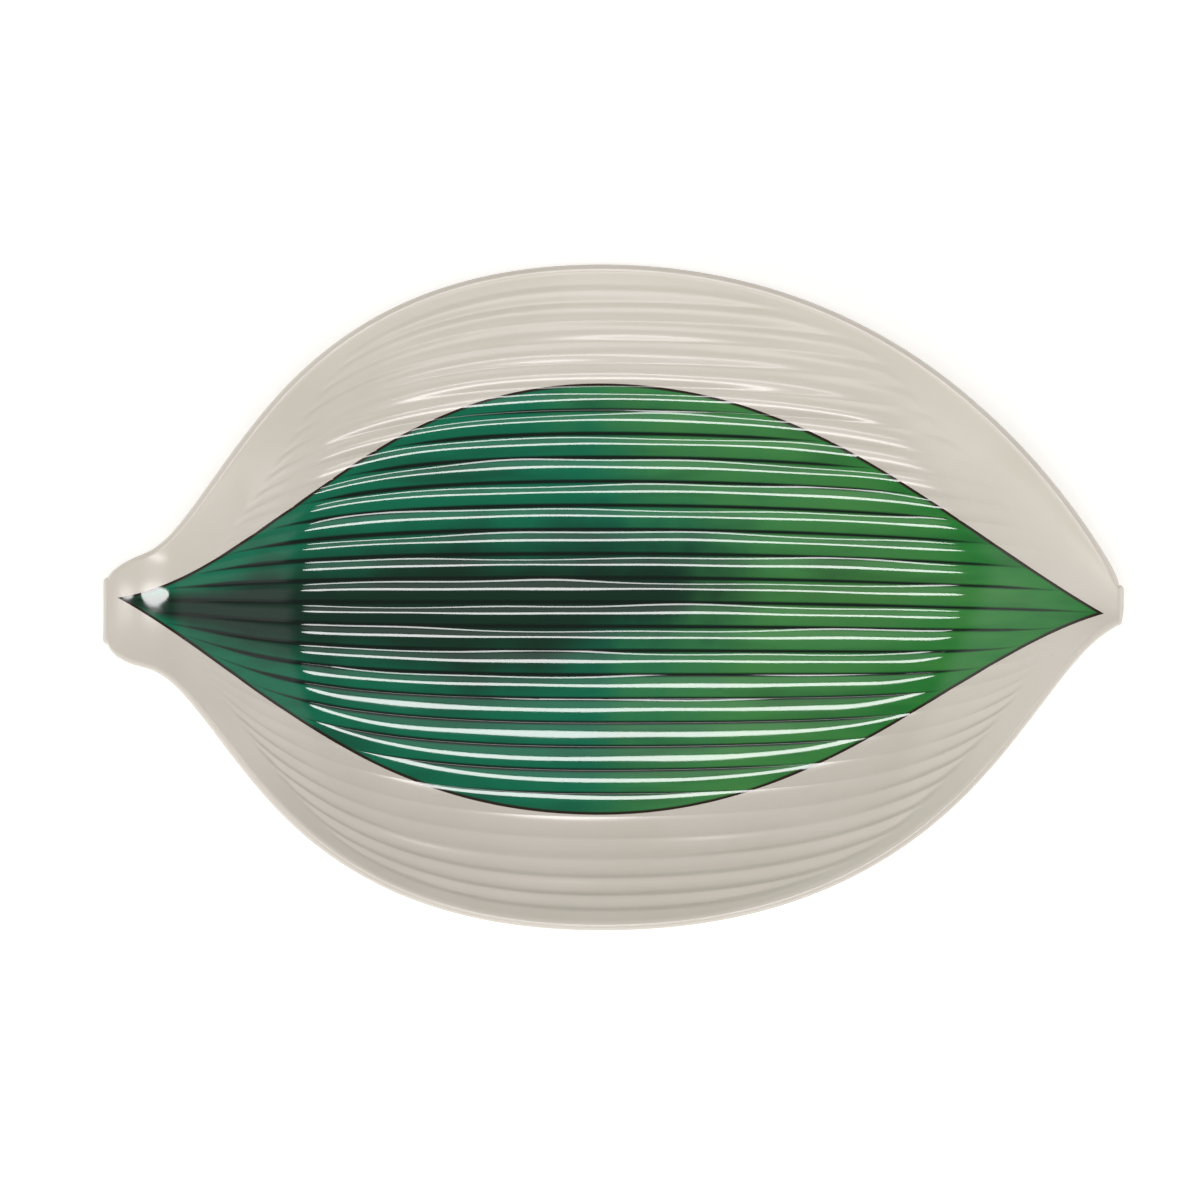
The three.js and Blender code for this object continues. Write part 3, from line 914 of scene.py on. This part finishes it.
class Shade:
    """A shader value that takes part in Python expressions; each operator adds a Math node."""

    def __init__(self, graph: "Graph", socket: bpy.types.NodeSocket) -> None:
        """Wraps an output socket of the graph's tree."""
        self.graph = graph
        self.socket = socket

    def math(self, operation: str, first: Any, second: Any = 0.0) -> "Shade":
        """Adds a Math node of that operation on two values."""
        return self.graph.add("ShaderNodeMath", {"operation": operation}, {0: first, 1: second})

    def __add__(self, other: Any) -> "Shade":
        """self + other."""
        return self.math("ADD", self, other)

    def __radd__(self, other: Any) -> "Shade":
        """other + self."""
        return self.math("ADD", other, self)

    def __sub__(self, other: Any) -> "Shade":
        """self - other."""
        return self.math("SUBTRACT", self, other)

    def __rsub__(self, other: Any) -> "Shade":
        """other - self."""
        return self.math("SUBTRACT", other, self)

    def __mul__(self, other: Any) -> "Shade":
        """self * other."""
        return self.math("MULTIPLY", self, other)

    def __rmul__(self, other: Any) -> "Shade":
        """other * self."""
        return self.math("MULTIPLY", other, self)

    def __abs__(self) -> "Shade":
        """Size of self without its sign."""
        return self.math("ABSOLUTE", self)

    def least(self, other: Any) -> "Shade":
        """The smaller of self and other."""
        return self.math("MINIMUM", self, other)

    def most(self, other: Any) -> "Shade":
        """The larger of self and other."""
        return self.math("MAXIMUM", self, other)

    def step(self, low: Any, high: Any) -> "Shade":
        """Eased step of self from 0 at low to 1 at high."""
        ranges = {"Value": self, "From Min": low, "From Max": high}
        return self.graph.add("ShaderNodeMapRange", {"interpolation_type": "SMOOTHSTEP"}, ranges)


@dataclass(frozen=True)
class Clouds:
    """A cloudy pattern: clouds per metre along X, Y and Z, and octaves of finer ones."""

    scale: tuple[float, float, float]
    detail: float


@dataclass(frozen=True)
class Glaze:
    """The clear glaze: how strongly it mirrors, and the slight orange peel of its surface."""

    ior: float = 1.6
    peel: Clouds = Clouds(scale=(260.0, 260.0, 260.0), detail=1.0)
    peel_height: float = 0.02 * MM
    peel_share: float = 0.25


class Graph:
    """A node tree that is filled by calls."""

    MIX_SOCKETS: ClassVar[tuple[int, int, int]] = (0, 6, 7)
    MIX_OUTPUT: ClassVar[int] = 2
    NOISE_MIDDLE: ClassVar[float] = 0.5

    def __init__(self, tree: bpy.types.NodeTree) -> None:
        """Starts with an empty tree."""
        self.tree = tree
        self.tree.nodes.clear()

    def add(self, kind: str, settings: dict[str, Any] | None = None, sockets: dict[Any, Any] | None = None,
            output: Any = 0) -> Shade | None:
        """Adds a node of any type.

        Args:
            kind: the node's type name.
            settings: its properties, which are set first.
            sockets: its inputs by name or number, each a value or a Shade to link.
            output: name or number of the output to hand back.

        Returns:
            The output, or None for a node without outputs.
        """
        node = self.tree.nodes.new(kind)
        for name, value in (settings or {}).items():
            setattr(node, name, value)
        for name, value in (sockets or {}).items():
            if isinstance(value, Shade):
                self.tree.links.new(value.socket, node.inputs[name])
            else:
                node.inputs[name].default_value = value
        return Shade(self, node.outputs[output]) if len(node.outputs) else None

    def blend(self, share: Any, first: Any, second: Any) -> Shade:
        """Mixes two colours: first where share is 0, second where it is 1."""
        sockets = dict(zip(self.MIX_SOCKETS, (share, first, second)))
        return self.add("ShaderNodeMix", {"data_type": "RGBA"}, sockets, self.MIX_OUTPUT)

    def mark(self, mark: Mark) -> Shade:
        """Reads a number that the piece carries at its vertices."""
        return self.add("ShaderNodeAttribute", {"attribute_name": mark.value}, output="Fac")

    def place(self) -> Shade:
        """Place on the piece, in metres."""
        return self.add("ShaderNodeTexCoord", output="Object")

    def noise(self, clouds: Clouds) -> Shade:
        """Cloudy values over the piece, from 0 to 1 about the noise's middle."""
        at = self.add("ShaderNodeMapping", None, {"Vector": self.place(), "Scale": clouds.scale})
        return self.add("ShaderNodeTexNoise", None, {"Vector": at, "Scale": 1.0, "Detail": clouds.detail})

    def glaze_normal(self, glaze: Glaze) -> Shade:
        """Normal of a glaze that flowed out with a slight orange peel."""
        size = {"Distance": glaze.peel_height, "Strength": glaze.peel_share}
        return self.add("ShaderNodeBump", None, {"Height": self.noise(glaze.peel), **size})

    def surface(self, sockets: dict[str, Any]) -> None:
        """Ends a material's tree with a Principled shader that has these sockets."""
        shader = self.add("ShaderNodeBsdfPrincipled", None, sockets)
        self.add("ShaderNodeOutputMaterial", None, {"Surface": shader})


def new_material(name: str) -> tuple[bpy.types.Material, Graph]:
    """Makes a node material.

    Args:
        name: the material's name.

    Returns:
        The material and the empty graph that fills it.
    """
    material = bpy.data.materials.new(name)
    material.use_nodes = True
    return material, Graph(material.node_tree)


def colour(code: str) -> Colour:
    """Linear colour from six hexadecimal digits of sRGB.

    Each channel c becomes c / 12.92 when small and ((c + 0.055) / 1.055) to the power 2.4 otherwise.

    Args:
        code: the digits, two each for red, green and blue.

    Returns:
        Red, green, blue and a full alpha.
    """
    channels = np.array([int(code[i:i + 2], 16) for i in (0, 2, 4)]) / 255.0
    linear = np.where(channels <= 0.04045, channels / 12.92, ((channels + 0.055) / 1.055) ** 2.4)
    return (*(float(c) for c in linear), 1.0)


@dataclass(frozen=True)
class GlazedMelamine:
    """Warm off-white moulded melamine under a clear glaze, with fine specks and a worn foot."""

    cream: Colour = colour("E1D9CE")
    shade: Colour = colour("DDD5C9")
    speck: Colour = colour("8A8072")
    worn: Colour = colour("C9C0B3")
    glaze: Glaze = Glaze()
    gloss: float = 0.19
    cloud: Clouds = Clouds(scale=(28.0, 28.0, 28.0), detail=3.0)
    cloud_step: Span = (0.35, 0.7)
    specks_per_metre: float = 160.0
    speck_choice: Span = (0.955, 0.96)
    speck_edge: Span = (0.012, 0.03)
    speck_share: float = 0.6
    foot_wear_height: float = 0.5 * MM
    foot_wear_share: float = 0.7
    foot_wear_dulling: float = 0.4
    smudge: Clouds = Clouds(scale=(45.0, 45.0, 45.0), detail=4.0)
    smudge_step: Span = (0.4, 0.8)
    smudge_dulling: float = 0.03

    def material(self) -> bpy.types.Material:
        """Makes the material: clouded cream, rare dark specks and a dull, darker edge under the foot.

        Returns:
            The finished material.
        """
        made, graph = new_material("glazed_melamine")
        cloud = graph.noise(self.cloud).step(*self.cloud_step)
        place = graph.place()
        cells = {"Vector": place, "Scale": self.specks_per_metre}
        spot = graph.add("ShaderNodeTexVoronoi", None, cells, "Distance")
        pick = graph.add("ShaderNodeTexVoronoi", None, cells, "Color")
        chosen = graph.add("ShaderNodeSeparateColor", None, {"Color": pick}, "Red").step(*self.speck_choice)
        speck = (1.0 - spot.step(*self.speck_edge)) * chosen
        base = graph.blend(cloud, self.cream, self.shade)
        base = graph.blend(speck * self.speck_share, base, self.speck)
        height = graph.add("ShaderNodeSeparateXYZ", None, {"Vector": place}, "Z")
        wear = 1.0 - height.step(0.0, self.foot_wear_height)
        base = graph.blend(wear * self.foot_wear_share, base, self.worn)
        smudge = graph.noise(self.smudge).step(*self.smudge_step)
        graph.surface({
            "Base Color": base,
            "Roughness": self.gloss + smudge * self.smudge_dulling + wear * self.foot_wear_dulling,
            "IOR": self.glaze.ior,
            "Normal": graph.glaze_normal(self.glaze),
        })
        return made


@dataclass(frozen=True)
class LeafPrint:
    """Plain leaf print under the glaze: dark heart, emerald blade, fresh green tip and inked ridges."""

    bottle: Colour = colour("123425")
    emerald: Colour = colour("0D7555")
    leaf: Colour = colour("2A8237")
    lime: Colour = colour("5C9C4E")
    ink: Colour = colour("0A1D14")
    outline: Colour = colour("2C2016")
    glaze: Glaze = Glaze()
    gloss: float = 0.06
    gloss_wash: float = 0.04
    wash: Clouds = Clouds(scale=(31.0, 23.0, 27.0), detail=4.0)
    brush: Clouds = Clouds(scale=(22.0, 120.0, 60.0), detail=2.0)
    heart_step: Span = (0.3, 0.82)
    heart_wash: float = 0.7
    heart_along: float = 0.6
    fresh_step: Span = (0.48, 0.92)
    fresh_along: float = 0.9
    fresh_across: float = 0.15
    fresh_wash: float = 0.3
    glow_width: float = 3.2
    glow_share: float = 0.6
    pale_strokes: float = 1.6
    dark_strokes: float = 2.2
    line_half_width: float = 0.8
    line_taper: float = 0.5
    line_soft: float = 0.4
    line_brush: float = 0.3
    line_thinning: Span = (0.5, 9.0)
    line_end: Span = (0.3, 2.5)
    outline_step: Span = (0.54, 1.08)
    outline_brush: float = 0.5

    def material(self) -> bpy.types.Material:
        """Makes the material from the foil's marks.

        Returns:
            The finished material.
        """
        made, graph = new_material("leaf_print")
        along = graph.mark(Mark.ALONG)
        across = abs(graph.mark(Mark.ACROSS))
        ridge = graph.mark(Mark.RIDGE)
        edge = graph.mark(Mark.EDGE)
        wash = graph.noise(self.wash) - graph.NOISE_MIDDLE
        brush = graph.noise(self.brush) - graph.NOISE_MIDDLE
        tone = self.ground(graph, along, across, wash, brush)
        slimming = (1.0 - along * self.line_taper) * self.line_half_width
        reach = edge.step(*self.line_thinning) * slimming + brush * self.line_brush
        line = 1.0 - ridge.step(reach - self.line_soft, reach + self.line_soft)
        tone = graph.blend(line * edge.step(*self.line_end), tone, self.ink)
        border = 1.0 - (edge + brush * self.outline_brush).step(*self.outline_step)
        graph.surface({
            "Base Color": graph.blend(border, tone, self.outline),
            "Roughness": self.gloss + (wash * self.gloss_wash).most(0.0),
            "IOR": self.glaze.ior,
            "Normal": graph.glaze_normal(self.glaze),
        })
        return made

    def ground(self, graph: Graph, along: Shade, across: Shade, wash: Shade, brush: Shade) -> Shade:
        """Colours under the ink: emerald, dark in the heart, fresh towards the tip, with brush strokes.

        Args:
            graph: the material's graph.
            along: 0 at the stem point to 1 at the tip.
            across: 0 along the middle to 1 on the edge.
            wash: slow clouds about 0.
            brush: clouds about 0 that are drawn out along the blade.

        Returns:
            The colour.
        """
        heart = 1.0 - (across + wash * self.heart_wash + along * self.heart_along).step(*self.heart_step)
        ripeness = along * self.fresh_along + across * self.fresh_across + wash * self.fresh_wash
        fresh = ripeness.step(*self.fresh_step)
        glow = (fresh * (1.0 - fresh) * self.glow_width).least(1.0)
        tone = graph.blend(heart, self.emerald, self.bottle)
        tone = graph.blend(fresh, tone, self.leaf)
        tone = graph.blend(glow * self.glow_share, tone, self.lime)
        tone = graph.blend((brush * self.pale_strokes).most(0.0) * fresh, tone, self.lime)
        return graph.blend((brush * -self.dark_strokes).most(0.0), tone, self.bottle)


@dataclass(frozen=True)
class Strip:
    """A long soft lamp above the plate, parallel to X."""

    name: str
    lean_deg: float
    width: float
    length: float
    radiance: float


@dataclass(frozen=True)
class Zone:
    """A pale zone of the surround: where it starts and is full along a direction, and its level."""

    start: float
    full: float
    level: float

    def over(self, way: Shade) -> Shade:
        """Level of the zone, reached by an eased step of the direction."""
        return way.step(self.start, self.full) * self.level


@dataclass
class Studio:
    """Pale floor, strip lamps over the plate, a soft surround and the camera above."""

    lamp_height: float = 1.1
    strips: tuple[Strip, ...] = (
        Strip("strip_above", lean_deg=-2.0, width=0.13, length=0.64, radiance=13.5),
        Strip("strip_front", lean_deg=-25.0, width=0.09, length=0.62, radiance=11.5),
        Strip("panel_between", lean_deg=-13.5, width=0.26, length=0.62, radiance=0.6),
    )
    stem_end: Zone = Zone(start=0.38, full=0.6, level=0.65)
    tip_end: Zone = Zone(start=0.38, full=0.6, level=0.1)
    tip_end_far: Zone = Zone(start=-0.35, full=-0.05, level=0.35)
    sides: Zone = Zone(start=0.78, full=0.9, level=1.9)
    front: Zone = Zone(start=0.82, full=0.94, level=2.1)
    horizon: Zone = Zone(start=-0.25, full=-0.1, level=0.8)
    ambient: float = 0.15
    brightest: float = 2.5
    floor_size: float = 6.0
    floor_drop: float = 0.2 * MM
    floor_tone: Colour = colour("F2F0EC")
    floor_glow: float = 0.45
    camera_distance: float = 1.25
    camera_tilt_deg: float = 2.0
    view_width: float = 0.3575
    view_middle: tuple[float, float, float] = (-0.0039, -0.0010, 0.024)
    view_end: float = 20.0
    sensor: float = 36.0

    def build(self) -> None:
        """Makes the floor, the lamps, the surround and the camera."""
        self.build_floor()
        for strip in self.strips:
            self.hang(strip)
        self.build_surround()
        self.build_camera()

    def build_floor(self) -> None:
        """Lays the floor: a wide square that shows near white and keeps the plate's shadow."""
        half = self.floor_size / 2
        corners = np.array([[-half, -half, 0.0], [half, -half, 0.0], [half, half, 0.0], [-half, half, 0.0]])
        mesh = bpy.data.meshes.new("studio_floor")
        mesh.from_pydata((corners - [0.0, 0.0, self.floor_drop]).tolist(), [], [[0, 1, 2, 3]])
        floor = bpy.data.objects.new("studio_floor", mesh)
        bpy.context.scene.collection.objects.link(floor)
        material, graph = new_material("studio_floor")
        paths = ("Is Camera Ray", "Is Glossy Ray", "Is Transmission Ray")
        camera, glossy, clear = (graph.add("ShaderNodeLightPath", output=name) for name in paths)
        matt = graph.add("ShaderNodeBsdfDiffuse", None, {"Color": self.floor_tone})
        light = graph.add("ShaderNodeEmission", None, {"Strength": self.floor_glow})
        lit = graph.add("ShaderNodeAddShader", None, {0: matt, 1: light})
        both = graph.add("ShaderNodeMixShader", None, {0: camera.most(glossy).most(clear), 1: matt, 2: lit})
        graph.add("ShaderNodeOutputMaterial", None, {"Surface": both})
        mesh.materials.append(material)

    def hang(self, strip: Strip) -> None:
        """Hangs a lamp at its lean from the plumb line, facing the plate.

        A flat lamp of radiance L and area A gives pi L A watts; the area of an ellipse is pi / 4
        times its length and width.

        Args:
            strip: the lamp.
        """
        lean = math.radians(strip.lean_deg)
        data = bpy.data.lights.new(strip.name, "AREA")
        data.shape = "ELLIPSE"
        data.size = strip.length
        data.size_y = strip.width
        data.energy = math.pi * strip.radiance * math.pi / 4 * strip.length * strip.width
        lamp = bpy.data.objects.new(strip.name, data)
        lamp.location = (0.0, self.lamp_height * math.tan(lean), self.lamp_height)
        lamp.rotation_euler = (-lean, 0.0, 0.0)
        bpy.context.scene.collection.objects.link(lamp)

    def build_surround(self) -> None:
        """Sets the world: dark overhead, pale at the horizon, to both ends and low in front.

        A Mix Shader's factor stops at 1, so the levels are divided by the brightest, which is the
        strength of the pale background.
        """
        world = bpy.data.worlds.new("studio_surround")
        bpy.context.scene.world = world
        world.use_nodes = True
        graph = Graph(world.node_tree)
        way = graph.add("ShaderNodeTexCoord", output="Generated")
        x, y, z = (graph.add("ShaderNodeSeparateXYZ", None, {"Vector": way}, axis) for axis in "XYZ")
        tip_level = self.tip_end_far.over(y) + self.tip_end.level
        level = self.stem_end.over(0.0 - x).most(x.step(self.tip_end.start, self.tip_end.full) * tip_level)
        for zone, direction in ((self.sides, abs(x)), (self.front, 0.0 - y), (self.horizon, 0.0 - z)):
            level = level.most(zone.over(direction))
        share = (level + self.ambient) * (1.0 / self.brightest)
        dark = graph.add("ShaderNodeBackground", None, {"Strength": 0.0})
        white = {"Color": (1.0, 1.0, 1.0, 1.0), "Strength": self.brightest}
        pale = graph.add("ShaderNodeBackground", None, white)
        both = graph.add("ShaderNodeMixShader", None, {0: share, 1: dark, 2: pale})
        graph.add("ShaderNodeOutputWorld", None, {"Surface": both})

    def build_camera(self) -> None:
        """Puts the camera almost straight above the plate, as in the photograph."""
        data = bpy.data.cameras.new("camera")
        data.sensor_width = self.sensor
        data.lens = self.sensor * self.camera_distance / self.view_width
        data.clip_end = self.view_end
        tilt = math.radians(self.camera_tilt_deg)
        camera = bpy.data.objects.new("camera", data)
        middle = Vector(self.view_middle)
        camera.location = middle + self.camera_distance * Vector((0.0, -math.sin(tilt), math.cos(tilt)))
        camera.rotation_euler = (tilt, 0.0, 0.0)
        bpy.context.scene.collection.objects.link(camera)
        bpy.context.scene.camera = camera


def main() -> None:
    """Builds the plate and its studio."""
    logging.basicConfig(level=logging.INFO, format="%(name)s: %(message)s")
    bpy.context.scene.view_settings.view_transform = "Standard"
    form = PlateForm()
    for part, finish in ((MouldedShell(form), GlazedMelamine()), (PrintedFoil(form), LeafPrint())):
        piece = part.build()
        part.dress(piece, finish.material())
        log.info("%s: %d faces", piece.name, len(piece.data.polygons))
    Studio().build()


if __name__ == "__main__":
    main()
